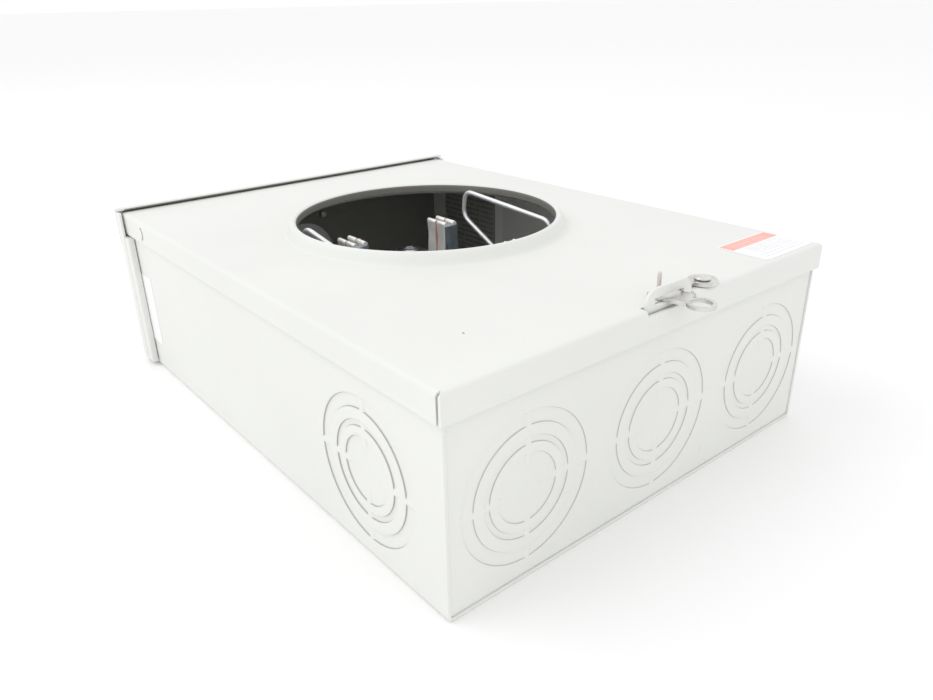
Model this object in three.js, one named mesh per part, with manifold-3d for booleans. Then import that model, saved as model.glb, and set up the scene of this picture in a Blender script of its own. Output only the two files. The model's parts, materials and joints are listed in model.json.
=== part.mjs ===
// Ringless meter socket enclosure, lying on its back with the cover up.
// Millimetres. +Z points out of the cover, +Y towards the enclosure's top end, +X to its right side.
// Y is written from the outer face of the cover's bottom flange, and the finished group is
// moved at the end so that the origin is under the middle of the whole object.
import * as THREE from 'three';
import { mergeVertices } from 'three/addons/utils/BufferGeometryUtils.js';
import Module from 'manifold-3d';

const wasm = await Module();
wasm.setup();

// ---------------------------------------------------------------- driving dimensions
const SHEET = 1.5;                  // steel sheet of the shell and the cover
const BEND = 0.8;                   // inner radius of a sheet bend
const GAP = 0.3;                    // air left between touching pieces

const COVER_WIDTH = 279.4;
const COVER_LENGTH = 363.5;
const COVER_TOP = 113;              // outer face of the cover above the back
const FLANGE = 14.7;                // depth of the cover's side and bottom flanges
const COVER_UNDER = COVER_TOP - SHEET;
const FLANGE_FOOT = COVER_TOP - FLANGE;

const METER_Y = 193;                // centre of the meter opening
const OPENING_R = 82.5;
const COLLAR_R = 91;                // foot of the raised collar
const COLLAR_RISE = 7.3;

const PAN_WIDTH = 275.4;            // outside of the folded back-and-sides sheet
const PAN_START = 1.9;
const PAN_END = 366;
const PAN_HEIGHT = 110.8;
const CAP_WIDTH = 285.4;            // outside of the hood at the top end
const CAP_END = 368;
const CAP_TOP = 116.1;
const END_WALL_Y = 2.6;             // outer face of the bottom end wall

const KNOCKOUT_RADII = [38.1, 31.4, 25.4, 22.3, 17.5];
const KNOCKOUT_STEP = 0.6;          // how far each half-sheared ring is pushed in
const KNOCKOUT_Z = 48.5;
const KNOCKOUT_PITCH = 91;
const SIDE_KNOCKOUT_Y = 61;

const TAB_HALF = 17.2;              // hasp tab that stands up through the cover
const TAB_TOP = 121.6;
const TAB_SLOT_HALF = 11;
const LATCH_X = 31.7;               // rivet that the latch turns on
const LATCH_Y = 6.5;
const LATCH_BOTTOM = COVER_TOP + 0.5;
const LATCH_SHEET = 1.8;
const LATCH_EYE = { x: -28.3, y: -19.3415, radius: 7, hole: 5 };  // counted from the rivet

const POLE_X = 37.2;                // meter jaws, either side of the opening's centre
const JAW_Y = 33;                   // and toward the hub from it
const LOAD_SHIFT = 15;              // how much further the load jaws are on their side
const JAW_HALF = 10;                // half the length of a jaw's contact
const JAW_TOP = 101.2;
const BLOCK_TOP = 58;               // moulded block under the jaws
const BLOCK_END_TOP = 44;           // and its lower ends, under the lugs
const SUPPORT_X = 68.6;             // sprung wire rests for the meter
const SUPPORT_TOP = 116;

// ---------------------------------------------------------------- solids
function toSolid(geometry) {
  const bare = geometry.clone();
  bare.deleteAttribute('normal');
  bare.deleteAttribute('uv');
  const merged = mergeVertices(bare, 1e-4);
  const position = merged.attributes.position;
  const corners = merged.index.array;
  const triangles = [];
  let volume = 0;
  const [a, b, c] = [new THREE.Vector3(), new THREE.Vector3(), new THREE.Vector3()];
  for (let i = 0; i < corners.length; i += 3) {
    const [p, q, r] = [corners[i], corners[i + 1], corners[i + 2]];
    if (p === q || q === r || r === p) continue;
    triangles.push(p, q, r);
    a.fromBufferAttribute(position, p);
    b.fromBufferAttribute(position, q);
    c.fromBufferAttribute(position, r);
    volume += a.dot(b.cross(c));
  }
  if (volume < 0) triangles.reverse();
  return new wasm.Manifold(new wasm.Mesh({
    numProp: 3,
    vertProperties: new Float32Array(position.array),
    triVerts: new Uint32Array(triangles),
  }));
}

function toGeometry(solid) {
  const mesh = solid.getMesh();
  const geometry = new THREE.BufferGeometry();
  geometry.setAttribute('position', new THREE.BufferAttribute(new Float32Array(mesh.vertProperties), 3));
  geometry.setIndex(new THREE.BufferAttribute(new Uint32Array(mesh.triVerts), 1));
  geometry.computeVertexNormals();
  return geometry;
}

function union(solids) {
  return solids.reduce((whole, solid) => whole.add(solid));
}

function box(xs, ys, zs) {
  const geometry = new THREE.BoxGeometry(xs[1] - xs[0], ys[1] - ys[0], zs[1] - zs[0]);
  geometry.translate((xs[0] + xs[1]) / 2, (ys[0] + ys[1]) / 2, (zs[0] + zs[1]) / 2);
  return toSolid(geometry);
}

function extrude(shape, depth, curveSegments = 10) {
  return new THREE.ExtrudeGeometry(shape, { depth, bevelEnabled: false, curveSegments });
}

// A section in X and Y, extruded upwards.
function alongZ(shape, zs, segments) {
  return toSolid(extrude(shape, zs[1] - zs[0], segments).translate(0, 0, zs[0]));
}

// A section in X and Z, extruded along Y.
function alongY(shape, ys, segments) {
  return toSolid(extrude(shape, ys[1] - ys[0], segments).rotateX(Math.PI / 2).translate(0, ys[1], 0));
}

// A section in Y and Z, extruded along X.
function alongX(shape, xs, segments) {
  const turn = new THREE.Matrix4().makeBasis(
    new THREE.Vector3(0, 1, 0), new THREE.Vector3(0, 0, 1), new THREE.Vector3(1, 0, 0));
  return toSolid(extrude(shape, xs[1] - xs[0], segments).applyMatrix4(turn).translate(xs[0], 0, 0));
}

function rod(radius, zs, x = 0, y = 0, sides = 24) {
  const geometry = new THREE.CylinderGeometry(radius, radius, zs[1] - zs[0], sides);
  geometry.rotateX(Math.PI / 2);
  geometry.translate(x, y, (zs[0] + zs[1]) / 2);
  return toSolid(geometry);
}

function rodAlongY(radius, ys, x, z, sides = 24) {
  const geometry = new THREE.CylinderGeometry(radius, radius, ys[1] - ys[0], sides);
  geometry.translate(x, (ys[0] + ys[1]) / 2, z);
  return toSolid(geometry);
}

// A turned piece on the Z axis: the profile lists [radius, z] pairs.
function turned(profile, x, y, sides = 24) {
  const points = profile.map(([radius, z]) => new THREE.Vector2(radius, z));
  const geometry = new THREE.LatheGeometry(points, sides);
  geometry.rotateX(Math.PI / 2);
  geometry.translate(x, y, 0);
  return toSolid(geometry);
}

// ---------------------------------------------------------------- sheet metal sections
function offsetPath(points, distance) {
  return points.map((point, i) => {
    const before = i > 0 ? point.clone().sub(points[i - 1]).normalize() : null;
    const after = i < points.length - 1 ? points[i + 1].clone().sub(point).normalize() : null;
    const first = before ?? after;
    const second = after ?? before;
    const normal = new THREE.Vector2(-first.y - second.y, first.x + second.x).normalize();
    const mitre = distance / (normal.x * -first.y + normal.y * first.x);
    return point.clone().addScaledVector(normal, mitre);
  });
}

function roundedPath(points, radius, steps = 3) {
  const path = [points[0]];
  for (let i = 1; i < points.length - 1; i += 1) {
    const into = points[i].clone().sub(points[i - 1]).normalize();
    const out = points[i + 1].clone().sub(points[i]).normalize();
    const half = Math.acos(THREE.MathUtils.clamp(into.dot(out), -1, 1)) / 2;
    const reach = radius * Math.tan(half);
    const start = points[i].clone().addScaledVector(into, -reach);
    const end = points[i].clone().addScaledVector(out, reach);
    const arc = new THREE.QuadraticBezierCurve(start, points[i], end);
    path.push(...arc.getPoints(steps));
  }
  path.push(points[points.length - 1]);
  return path;
}

// The section of a bent sheet: its outer face runs through the corners, and the sheet lies on
// the right-hand side of that line.
function bentSheet(corners, thickness = SHEET, bend = BEND) {
  const outer = corners.map(([u, v]) => new THREE.Vector2(u, v));
  const inner = offsetPath(outer, -thickness);
  const outline = [
    ...roundedPath(outer, bend + thickness),
    ...roundedPath(inner, bend).reverse(),
  ];
  return new THREE.Shape(outline);
}

function ring(outerRadius, innerRadius, x, y) {
  const shape = new THREE.Shape().absarc(x, y, outerRadius, 0, 2 * Math.PI);
  if (innerRadius > 0) shape.holes.push(new THREE.Path().absarc(x, y, innerRadius, 0, 2 * Math.PI));
  return shape;
}

// The recesses of one concentric knockout in a wall that faces -Y, centred on x and z.
// Every other ring is pushed in by a step, and so is the disc in the middle.
function knockoutCut(x, z, faceY) {
  const [r1, r2, r3, r4, r5] = KNOCKOUT_RADII;
  const depth = [faceY - SHEET, faceY + KNOCKOUT_STEP];
  const segments = 16;
  return union([ring(r1, r2, x, z), ring(r3, r4, x, z), ring(r5, 0, x, z)]
    .map((shape) => alongY(shape, depth, segments)));
}

function knockoutCutInSide(side) {
  const turn = new THREE.Matrix4().makeRotationZ(side * Math.PI / 2);
  const face = PAN_WIDTH / 2;
  const cut = knockoutCut(0, KNOCKOUT_Z, -face);
  return cut.transform(turn.elements).translate([0, SIDE_KNOCKOUT_Y, 0]);
}

// ---------------------------------------------------------------- shell
function backPan() {
  const half = PAN_WIDTH / 2;
  const section = bentSheet([[-half, PAN_HEIGHT], [-half, 0], [half, 0], [half, PAN_HEIGHT]].reverse());
  let pan = alongY(section, [PAN_START, PAN_END]);
  for (const side of [-1, 1]) pan = pan.subtract(knockoutCutInSide(side));
  const mountingHoles = [[-100, 45], [100, 45], [-100, 325], [100, 325]];
  for (const [x, y] of mountingHoles) pan = pan.subtract(rod(4.2, [-1, 3], x, y, 20));
  return pan;
}

function bottomEndWall() {
  const half = PAN_WIDTH / 2 - SHEET - 0.4;
  const floor = 1.9;
  const wallTop = 109;
  const rim = 14;
  const sides = bentSheet([[half, END_WALL_Y + rim], [half, END_WALL_Y], [-half, END_WALL_Y],
    [-half, END_WALL_Y + rim]]);
  const foot = bentSheet([[END_WALL_Y, 20], [END_WALL_Y, floor], [END_WALL_Y + rim, floor]].reverse());
  const wallFace = [END_WALL_Y, END_WALL_Y + SHEET];
  const tab = new THREE.Shape();
  const corner = 7;
  tab.moveTo(-TAB_HALF, wallTop - 20);
  tab.lineTo(TAB_HALF, wallTop - 20);
  tab.lineTo(TAB_HALF, TAB_TOP - corner);
  tab.absarc(TAB_HALF - corner, TAB_TOP - corner, corner, 0, Math.PI / 2);
  tab.lineTo(-TAB_HALF + corner, TAB_TOP);
  tab.absarc(-TAB_HALF + corner, TAB_TOP - corner, corner, Math.PI / 2, Math.PI);
  let wall = union([
    alongZ(sides, [4.8, wallTop - 4]),
    alongX(foot, [-half + 4, half - 4]),
    box([-half + 4, half - 4], wallFace, [10, wallTop]),
    alongY(tab, wallFace, 8),
  ]);
  const slotRoom = [LATCH_BOTTOM - 0.5, LATCH_BOTTOM + LATCH_SHEET + 1.6];
  wall = wall.subtract(box([-TAB_SLOT_HALF, TAB_SLOT_HALF], [0, 8], slotRoom));
  for (const column of [-1, 0, 1]) {
    wall = wall.subtract(knockoutCut(column * KNOCKOUT_PITCH, KNOCKOUT_Z, END_WALL_Y));
  }
  return wall;
}

const HUB = { z: 50, radius: 28, screwX: 19.5, screwZ: 33, plateX: 31, plateZ: 43 };

function topEndCap() {
  const half = CAP_WIDTH / 2;
  const lipStart = 361.5;
  const sideStart = 358;
  const hoodFoot = 4.5;
  const sides = bentSheet([[half, sideStart], [half, CAP_END], [-half, CAP_END], [-half, sideStart]].reverse());
  const lip = bentSheet([[CAP_END, 90], [CAP_END, CAP_TOP], [lipStart, CAP_TOP]].reverse());
  const foot = bentSheet([[350, 1.8], [CAP_END, 1.8], [CAP_END, 20]].reverse());
  const wallHalf = half - 3;
  const footHalf = PAN_WIDTH / 2 - 4;
  let cap = union([
    alongZ(sides, [hoodFoot, CAP_TOP - 2.3]),
    alongX(lip, [-half, half]),
    alongX(foot, [-footHalf, footHalf]),
    box([-wallHalf, wallHalf], [CAP_END - SHEET, CAP_END], [hoodFoot, CAP_TOP - 3]),
  ]);
  cap = cap.subtract(rodAlongY(HUB.radius, [CAP_END - 5, CAP_END + 5], 0, HUB.z, 40));
  for (const [x, z] of hubScrewPlaces()) {
    cap = cap.subtract(rodAlongY(2.9, [CAP_END - 5, CAP_END + 5], x, z, 12));
  }
  return cap;
}

function hubScrewPlaces() {
  const places = [];
  for (const x of [-HUB.screwX, HUB.screwX]) {
    for (const z of [HUB.z - HUB.screwZ, HUB.z + HUB.screwZ]) places.push([x, z]);
  }
  return places;
}

function hubClosingPlate() {
  const face = CAP_END + GAP;
  let plate = box([-HUB.plateX, HUB.plateX], [face, face + SHEET], [HUB.z - HUB.plateZ, HUB.z + HUB.plateZ]);
  for (const [x, z] of hubScrewPlaces()) {
    plate = plate.subtract(rodAlongY(2.9, [face - 2, face + 4], x, z, 12));
  }
  return plate;
}

// A pan-head screw standing along +Z with its head's underside at z = 0.
function panHeadScrew(headRadius, headHeight, shankRadius, shankLength) {
  const head = turned([[0, -shankLength], [shankRadius, -shankLength], [shankRadius, 0],
    [headRadius, 0], [headRadius, headHeight * 0.55], [headRadius * 0.6, headHeight], [0, headHeight]],
  0, 0, 16);
  const slot = box([-headRadius - 1, headRadius + 1], [-0.5, 0.5], [headHeight * 0.5, headHeight + 1]);
  return head.subtract(slot);
}

function hubScrew() {
  const upright = panHeadScrew(4.2, 2.2, 2.4, 6);
  return upright.rotate([-90, 0, 0]).translate([0, CAP_END + 2 * GAP + SHEET, 0]);
}

// ---------------------------------------------------------------- cover
function collar() {
  const top = COVER_TOP + COLLAR_RISE;
  const wall = 1.3;
  const crest = OPENING_R + 2.6;
  const outer = [[COLLAR_R + 3, COVER_TOP], [COLLAR_R, COVER_TOP], [COLLAR_R - 1.6, COVER_TOP + 1.2],
    [crest + 1.4, top - 1.5], [crest, top - 0.3], [crest - 1.2, top], [OPENING_R + 0.6, top - 0.5],
    [OPENING_R, top - 1.6], [OPENING_R, COVER_TOP + 2]];
  const inner = [[OPENING_R + wall, COVER_TOP + 2], [OPENING_R + wall, top - 1.7], [crest - 0.6, top - wall],
    [crest + 0.3, top - 2.2], [COLLAR_R - 2.8, COVER_UNDER + 1.3], [COLLAR_R - 0.6, COVER_UNDER],
    [COLLAR_R + 3, COVER_UNDER]];
  const profile = [...outer, ...inner, outer[0]];
  return turned(profile, 0, METER_Y, 60);
}

function cover() {
  const half = COVER_WIDTH / 2;
  const bendOut = BEND + SHEET;
  const across = bentSheet([[-half, FLANGE_FOOT], [-half, COVER_TOP], [half, COVER_TOP], [half, FLANGE_FOOT]]);
  const front = bentSheet([[0, FLANGE_FOOT], [0, COVER_TOP], [12, COVER_TOP]]);
  const sheet = union([
    alongY(across, [bendOut, COVER_LENGTH]),
    alongX(front, [-half + bendOut, half - bendOut]),
  ]);
  const tabRoom = TAB_HALF + 1.2;
  return sheet
    .subtract(rod(COLLAR_R + 2, [COVER_UNDER - 2, COVER_TOP + 2], 0, METER_Y, 60))
    .add(collar())
    .subtract(box([-tabRoom, tabRoom], [-1, 5.4], [COVER_TOP - 3.2, COVER_TOP + 2]))
    .subtract(rod(2.9, [COVER_UNDER - 2, COVER_TOP + 2], LATCH_X, LATCH_Y, 20));
}

// ---------------------------------------------------------------- latch
// The latch is one flat stamping. Its tongue is a band round the rivet, so it slides through the
// hasp tab's slot as it turns, and it ends in an eye for a seal or a padlock.
function latch() {
  const zs = [LATCH_BOTTOM, LATCH_BOTTOM + LATCH_SHEET];
  const [bandInner, bandOuter] = [22, 36];
  const degrees = Math.PI / 180;
  const towardsTab = 180 * degrees;
  const [back, tip] = [towardsTab - 10.5 * degrees, towardsTab + 25 * degrees];
  const band = new THREE.Shape();
  band.absarc(0, 0, bandOuter, back, tip, false);
  band.absarc(0, 0, bandInner, tip, back, true);
  const arm = new THREE.Shape();
  const armReach = bandInner + 4;
  arm.moveTo(0, 0);
  arm.lineTo(armReach * Math.cos(back), armReach * Math.sin(back));
  arm.absarc(0, 0, armReach, back, towardsTab + 3 * degrees, false);
  let plate = union([
    alongZ(band, zs, 16),
    alongZ(arm, zs, 8),
    rod(7.4, zs, 0, 0, 32),
    rod(LATCH_EYE.radius, zs, LATCH_EYE.x, LATCH_EYE.y, 32),
  ]);
  plate = plate.subtract(rod(LATCH_EYE.hole, [zs[0] - 1, zs[1] + 1], LATCH_EYE.x, LATCH_EYE.y, 28));
  plate = plate.subtract(rod(2.9, [zs[0] - 1, zs[1] + 1], 0, 0, 20));
  plate = plate.subtract(rod(1.4, [zs[0] - 1, zs[1] + 1], ...thumbPinPlace(), 12));
  return plate.translate([LATCH_X, LATCH_Y, 0]);
}

function thumbPinPlace() {
  return [-31.6, 2.8];
}

function latchRivet() {
  const headSeat = LATCH_BOTTOM + LATCH_SHEET + GAP;
  const tailSeat = COVER_UNDER - GAP;
  return turned([[0, tailSeat - 1.2], [3.6, tailSeat - 1.2], [4, tailSeat], [2.5, tailSeat], [2.5, headSeat],
    [4.2, headSeat], [4.2, headSeat + 0.5], [3, headSeat + 1.3], [0, headSeat + 1.5]], LATCH_X, LATCH_Y, 20);
}

function latchThumbPin() {
  const [x, y] = thumbPinPlace();
  const seat = LATCH_BOTTOM + LATCH_SHEET + GAP;
  return turned([[0, LATCH_BOTTOM + 0.2], [1.1, LATCH_BOTTOM + 0.2], [1.1, seat], [1.9, seat],
    [1.9, seat + 0.7], [1.1, seat + 1.1], [1.1, 125.2], [0.6, 125.8], [0, 125.8]], LATCH_X + x, LATCH_Y + y, 14);
}

// ---------------------------------------------------------------- labels
function coverLabel() {
  return box([88, 136], [4, 36], [COVER_TOP + 0.05, COVER_TOP + 0.25]);
}

function sideLabel() {
  const face = -PAN_WIDTH / 2;
  return box([face - 0.25, face - 0.05], [333, 357.5], [21, 71]);
}

function wiringLabel() {
  const face = PAN_WIDTH / 2 - SHEET;
  return box([face - 0.25, face - 0.05], [271, 348], [12, 94]);
}

// ---------------------------------------------------------------- socket
const BRACKET_TOP = 31.5;
const BRACKET_HALF = 62;

function mountingBracket() {
  const foot = BRACKET_HALF + 18;
  const section = bentSheet([[-foot, 3.3], [-BRACKET_HALF, 3.3], [-BRACKET_HALF, BRACKET_TOP],
    [BRACKET_HALF, BRACKET_TOP], [BRACKET_HALF, 3.3], [foot, 3.3]]);
  let bracket = alongY(section, [METER_Y - 107, METER_Y + 92]);
  const through = [BRACKET_TOP - 5, BRACKET_TOP + 2];
  for (const pole of [-1, 1]) {
    for (const end of [-1, 1]) bracket = bracket.subtract(rod(2.7, through, ...blockScrewPlace(pole, end), 12));
  }
  return bracket.subtract(rod(2.9, through, 0, METER_Y, 12));
}

// Where the jaw, bolt and lug at one end of a block are counted from.
function endOrigin(end) {
  return end > 0 ? METER_Y : METER_Y - LOAD_SHIFT;
}

function blockScrewPlace(pole, end) {
  return [pole * (POLE_X - 12), METER_Y + end * 13];
}

const JAW_BOLT_Y = 56.3;              // the bolt that holds a jaw and its lug, from the centre
const JAW_BASE = BLOCK_TOP + GAP;
const LUG_PAD = BLOCK_END_TOP + GAP;
const JAW_PLATE = 2.5;
const JAW_LEAF = 1.6;
const JAW_END = 87;                 // the far end of a jaw's base, from the centre
const JAW_STEP_Y = 48;              // where its base steps down to the lug

function socketBlock(pole) {
  const width = 17;
  const xs = [pole * POLE_X - width, pole * POLE_X + width];
  const floor = BRACKET_TOP + GAP;
  const high = JAW_STEP_Y - 2;
  const loadEnd = METER_Y - LOAD_SHIFT;
  const barrierTop = BLOCK_TOP + 16;
  let block = union([
    box(xs, [loadEnd - JAW_END, METER_Y + JAW_END], [floor, BLOCK_END_TOP]),
    box(xs, [loadEnd - high, METER_Y + high], [BLOCK_END_TOP - 5, BLOCK_TOP]),
    box(xs, [METER_Y - 7, METER_Y + 5], [BLOCK_TOP - 5, barrierTop]),
  ]);
  for (const end of [-1, 1]) {
    const [x, y] = blockScrewPlace(pole, end);
    block = block.subtract(rod(3, [floor - 1, BLOCK_TOP + 1], x, y, 16));
    block = block.subtract(rod(5.2, [BLOCK_TOP - 9, BLOCK_TOP + 1], x, y, 16));
    const bolt = endOrigin(end) + end * JAW_BOLT_Y;
    block = block.subtract(rod(3.4, [floor + 2, BLOCK_END_TOP + 1], pole * POLE_X, bolt, 16));
  }
  return block;
}

function blockScrew() {
  return panHeadScrew(4.4, 3, 2.3, 24);
}

// A meter jaw about x = 0, on the line (upper) side: two sprung leaves on a base that steps
// down to the pad under the lug.
function jaw() {
  const half = 9;
  const spread = 5.6;
  const ys = [JAW_Y - JAW_HALF, JAW_Y + JAW_HALF];
  const flare = [[-spread, JAW_TOP], [-4.4, 93], [-spread, 80], [-spread, JAW_BASE], [spread, JAW_BASE],
    [spread, 80], [4.4, 93], [spread, JAW_TOP]];
  const leaves = alongY(bentSheet(flare.reverse(), JAW_LEAF, 0.9), ys);
  const base = bentSheet([[JAW_END, LUG_PAD], [JAW_STEP_Y, LUG_PAD], [JAW_STEP_Y, JAW_BASE], [ys[0], JAW_BASE]],
    JAW_PLATE, 0.2);
  const fingerSlit = box([-12, 12], [JAW_Y - 0.6, JAW_Y + 0.6], [78, JAW_TOP + 1]);
  const boltHole = rod(3.4, [LUG_PAD - 1, LUG_PAD + JAW_PLATE + 1], 0, JAW_BOLT_Y, 16);
  return union([leaves, alongX(base, [-half, half])]).subtract(fingerSlit).subtract(boltHole);
}

// A steel clip that closes round the jaw's leaves from the end nearest the middle.
function jawClip() {
  const start = JAW_Y - JAW_HALF - GAP;
  const sheet = 1;
  const arm = 6.9;
  const plan = bentSheet([[-arm, start + 15], [-arm, start - sheet], [arm, start - sheet], [arm, start + 15]]
    .reverse(), sheet, 0.6);
  const band = alongZ(plan, [66, 73]);
  const shield = box([-5.2, 5.2], [start - sheet, start], [66, JAW_TOP - 1.5]);
  return band.add(shield);
}

function jawBolt() {
  return panHeadScrew(4.8, 3.2, 3.1, 11);
}

const LUG = { start: 62, end: 86, half: 12, bottom: LUG_PAD + JAW_PLATE + GAP, top: 70, boreZ: 58 };

function lug() {
  const middle = (LUG.start + LUG.end) / 2;
  const bore = rodAlongY(7.6, [LUG.start - 2, LUG.end + 2], 0, LUG.boreZ, 20);
  const thread = rod(7.2, [LUG.boreZ, LUG.top + 1], 0, middle, 20);
  return box([-LUG.half, LUG.half], [LUG.start, LUG.end], [LUG.bottom, LUG.top]).subtract(bore).subtract(thread);
}

// A hollow-hex set screw standing on z = 0.
function setScrew(radius, length, acrossFlats) {
  const socket = new THREE.CylinderGeometry(acrossFlats / Math.sqrt(3), acrossFlats / Math.sqrt(3), length, 6);
  socket.rotateX(Math.PI / 2);
  socket.translate(0, 0, length);
  const body = turned([[0, 0], [radius - 1, 0], [radius, 1], [radius, length - 0.6], [radius - 0.6, length],
    [0, length]], 0, 0, 18);
  return body.subtract(toSolid(socket));
}

const NEUTRAL = { half: 10, reach: 44, top: 52, boreZ: 43, screwY: 31 };

function neutralBar() {
  const zs = [BRACKET_TOP + GAP, NEUTRAL.top];
  let bar = box([-NEUTRAL.half, NEUTRAL.half], [METER_Y - NEUTRAL.reach, METER_Y + NEUTRAL.reach], zs);
  for (const end of [-1, 1]) {
    const mouth = METER_Y + end * NEUTRAL.reach;
    bar = bar.subtract(rodAlongY(6.5, [mouth - 26, mouth + 26], 0, NEUTRAL.boreZ, 20));
    bar = bar.subtract(rod(5.2, [NEUTRAL.boreZ, NEUTRAL.top + 1], 0, METER_Y + end * NEUTRAL.screwY, 20));
  }
  return bar.subtract(rod(3, [zs[0] - 1, zs[1] + 1], 0, METER_Y, 16));
}

const GROUND = { x: 96, start: 70, end: 98, screwY: 77, fixingY: 91, top: 17, boreZ: 9.5 };

function groundLug() {
  const bar = box([GROUND.x - 8, GROUND.x + 8], [GROUND.start, GROUND.end], [SHEET + GAP, GROUND.top]);
  const bore = rodAlongY(4.4, [GROUND.start - 2, GROUND.end + 2], GROUND.x, GROUND.boreZ, 18);
  const thread = rod(3.9, [GROUND.boreZ, GROUND.top + 1], GROUND.x, GROUND.screwY, 16);
  const fixing = rod(2.6, [0, GROUND.top + 1], GROUND.x, GROUND.fixingY, 14);
  return bar.subtract(bore).subtract(thread).subtract(fixing);
}

// ---------------------------------------------------------------- wire supports
// A bent spring wire in a plane parallel to the side walls: a long top rail, two turned-down
// ends, and two legs that slope back to a foot on the socket block's bracket.
const FOOT_Z = 22;

function supportPath() {
  const [rail, shoulder] = [44, 48];
  const corners = [[-7, FOOT_Z], [-7, 66], [-shoulder, 95], [-rail, SUPPORT_TOP], [rail, SUPPORT_TOP],
    [shoulder, 95], [7, 66], [7, FOOT_Z]].map(([y, z]) => new THREE.Vector2(y, z));
  const points = roundedPath(corners, 7, 4).map((point) => new THREE.Vector3(0, point.x, point.y));
  const path = new THREE.CurvePath();
  for (let i = 1; i < points.length; i += 1) {
    if (points[i].distanceTo(points[i - 1]) > 0.01) path.add(new THREE.LineCurve3(points[i - 1], points[i]));
  }
  return path;
}

function wireSupport() {
  const wireRadius = 1.6;
  const sides = 6;
  const section = new THREE.Shape();
  for (let i = 0; i < sides; i += 1) {
    const angle = (i + 0.5) * 2 * Math.PI / sides;
    const [x, y] = [wireRadius * Math.cos(angle), wireRadius * Math.sin(angle)];
    if (i === 0) section.moveTo(x, y);
    else section.lineTo(x, y);
  }
  const geometry = new THREE.ExtrudeGeometry(section, { steps: 44, extrudePath: supportPath(), bevelEnabled: false });
  return toSolid(geometry);
}

// The steel post beside the bracket that holds a support's two feet.
function supportClamp(side) {
  const outer = side * (SUPPORT_X + 6);
  const inner = side * (BRACKET_HALF + BEND + GAP);
  const xs = [Math.min(outer, inner), Math.max(outer, inner)];
  const post = box(xs, [METER_Y - 13, METER_Y + 13], [3.3 + GAP, 40]);
  const sockets = [-7, 7].map((y) => rod(1.6 + GAP, [FOOT_Z - GAP, 41], side * SUPPORT_X, METER_Y + y, 12));
  return post.subtract(sockets[0]).subtract(sockets[1]);
}

// ---------------------------------------------------------------- materials and assembly
const LOOKS = {
  paint: { color: 0xd9dbd6, roughness: 0.45, metalness: 0.1 },
  zinc: { color: 0xc9ccd0, roughness: 0.35, metalness: 0.9 },
  spring_steel: { color: 0x6d7680, roughness: 0.3, metalness: 0.9 },
  tinned_copper: { color: 0xd6d5d0, roughness: 0.3, metalness: 0.9 },
  aluminium: { color: 0xc3c5c8, roughness: 0.4, metalness: 0.9 },
  phenolic: { color: 0x2b2c2c, roughness: 0.55, metalness: 0 },
  label_white: { color: 0xf4f4f1, roughness: 0.5, metalness: 0 },
};

const enclosure = new THREE.Group();

function addPiece(name, solid, look, place = [0, 0, 0], turnZ = 0) {
  const mesh = new THREE.Mesh(toGeometry(solid), new THREE.MeshStandardMaterial(LOOKS[look]));
  mesh.name = name;
  mesh.position.set(...place);
  mesh.rotation.z = turnZ;
  enclosure.add(mesh);
}

addPiece('back_pan', backPan(), 'paint');
addPiece('bottom_end_wall', bottomEndWall(), 'paint');
addPiece('top_end_cap', topEndCap(), 'paint');
addPiece('hub_closing_plate', hubClosingPlate(), 'paint');
hubScrewPlaces().forEach(([x, z], i) => addPiece(`hub_screw_${i + 1}`, hubScrew(), 'zinc', [x, 0, z]));

addPiece('cover', cover(), 'paint');
addPiece('latch', latch(), 'zinc');
addPiece('latch_rivet', latchRivet(), 'zinc');
addPiece('latch_thumb_pin', latchThumbPin(), 'zinc');
addPiece('cover_label', coverLabel(), 'label_white');
addPiece('side_label', sideLabel(), 'label_white');
addPiece('wiring_label', wiringLabel(), 'label_white');

addPiece('socket_bracket', mountingBracket(), 'zinc');
for (const [pole, side] of [[-1, 'left'], [1, 'right']]) {
  addPiece(`socket_block_${side}`, socketBlock(pole), 'phenolic');
  for (const [end, role] of [[1, 'line'], [-1, 'load']]) {
    const place = [pole * POLE_X, endOrigin(end), 0];
    const turn = end > 0 ? 0 : Math.PI;
    const screwTurn = (pole * 0.7) + (end * 0.4);
    const lugMiddle = end * (LUG.start + LUG.end) / 2;
    addPiece(`jaw_${role}_${side}`, jaw(), 'tinned_copper', place, turn);
    addPiece(`jaw_clip_${role}_${side}`, jawClip(), 'spring_steel', place, turn);
    addPiece(`jaw_bolt_${role}_${side}`, jawBolt(), 'zinc',
      [place[0], place[1] + end * JAW_BOLT_Y, LUG_PAD + JAW_PLATE + GAP], screwTurn);
    addPiece(`lug_${role}_${side}`, lug(), 'aluminium', place, turn);
    addPiece(`lug_screw_${role}_${side}`, setScrew(6.9, 11, 8), 'aluminium',
      [place[0], place[1] + lugMiddle, 61], screwTurn);
    const [x, y] = blockScrewPlace(pole, end);
    addPiece(`block_screw_${role}_${side}`, blockScrew(), 'zinc', [x, y, BLOCK_TOP - 9 + GAP], screwTurn);
  }
  addPiece(`meter_support_${side}`, wireSupport(), 'zinc', [pole * SUPPORT_X, METER_Y, 0]);
  addPiece(`support_clamp_${side}`, supportClamp(pole), 'zinc');
}

addPiece('neutral_bar', neutralBar(), 'aluminium');
addPiece('neutral_bonding_screw', panHeadScrew(4.8, 3.2, 2.6, 34), 'zinc', [0, METER_Y, NEUTRAL.top + GAP]);
for (const [end, role] of [[1, 'line'], [-1, 'load']]) {
  addPiece(`neutral_screw_${role}`, setScrew(4.9, 9, 5.5), 'aluminium',
    [0, METER_Y + end * NEUTRAL.screwY, 47]);
}
addPiece('ground_lug', groundLug(), 'aluminium');
addPiece('ground_screw', setScrew(3.6, 10, 4), 'aluminium', [GROUND.x, GROUND.screwY, 11]);
addPiece('ground_fixing_screw', panHeadScrew(4, 2.6, 2.3, 14), 'zinc',
  [GROUND.x, GROUND.fixingY, GROUND.top + GAP]);

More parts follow.
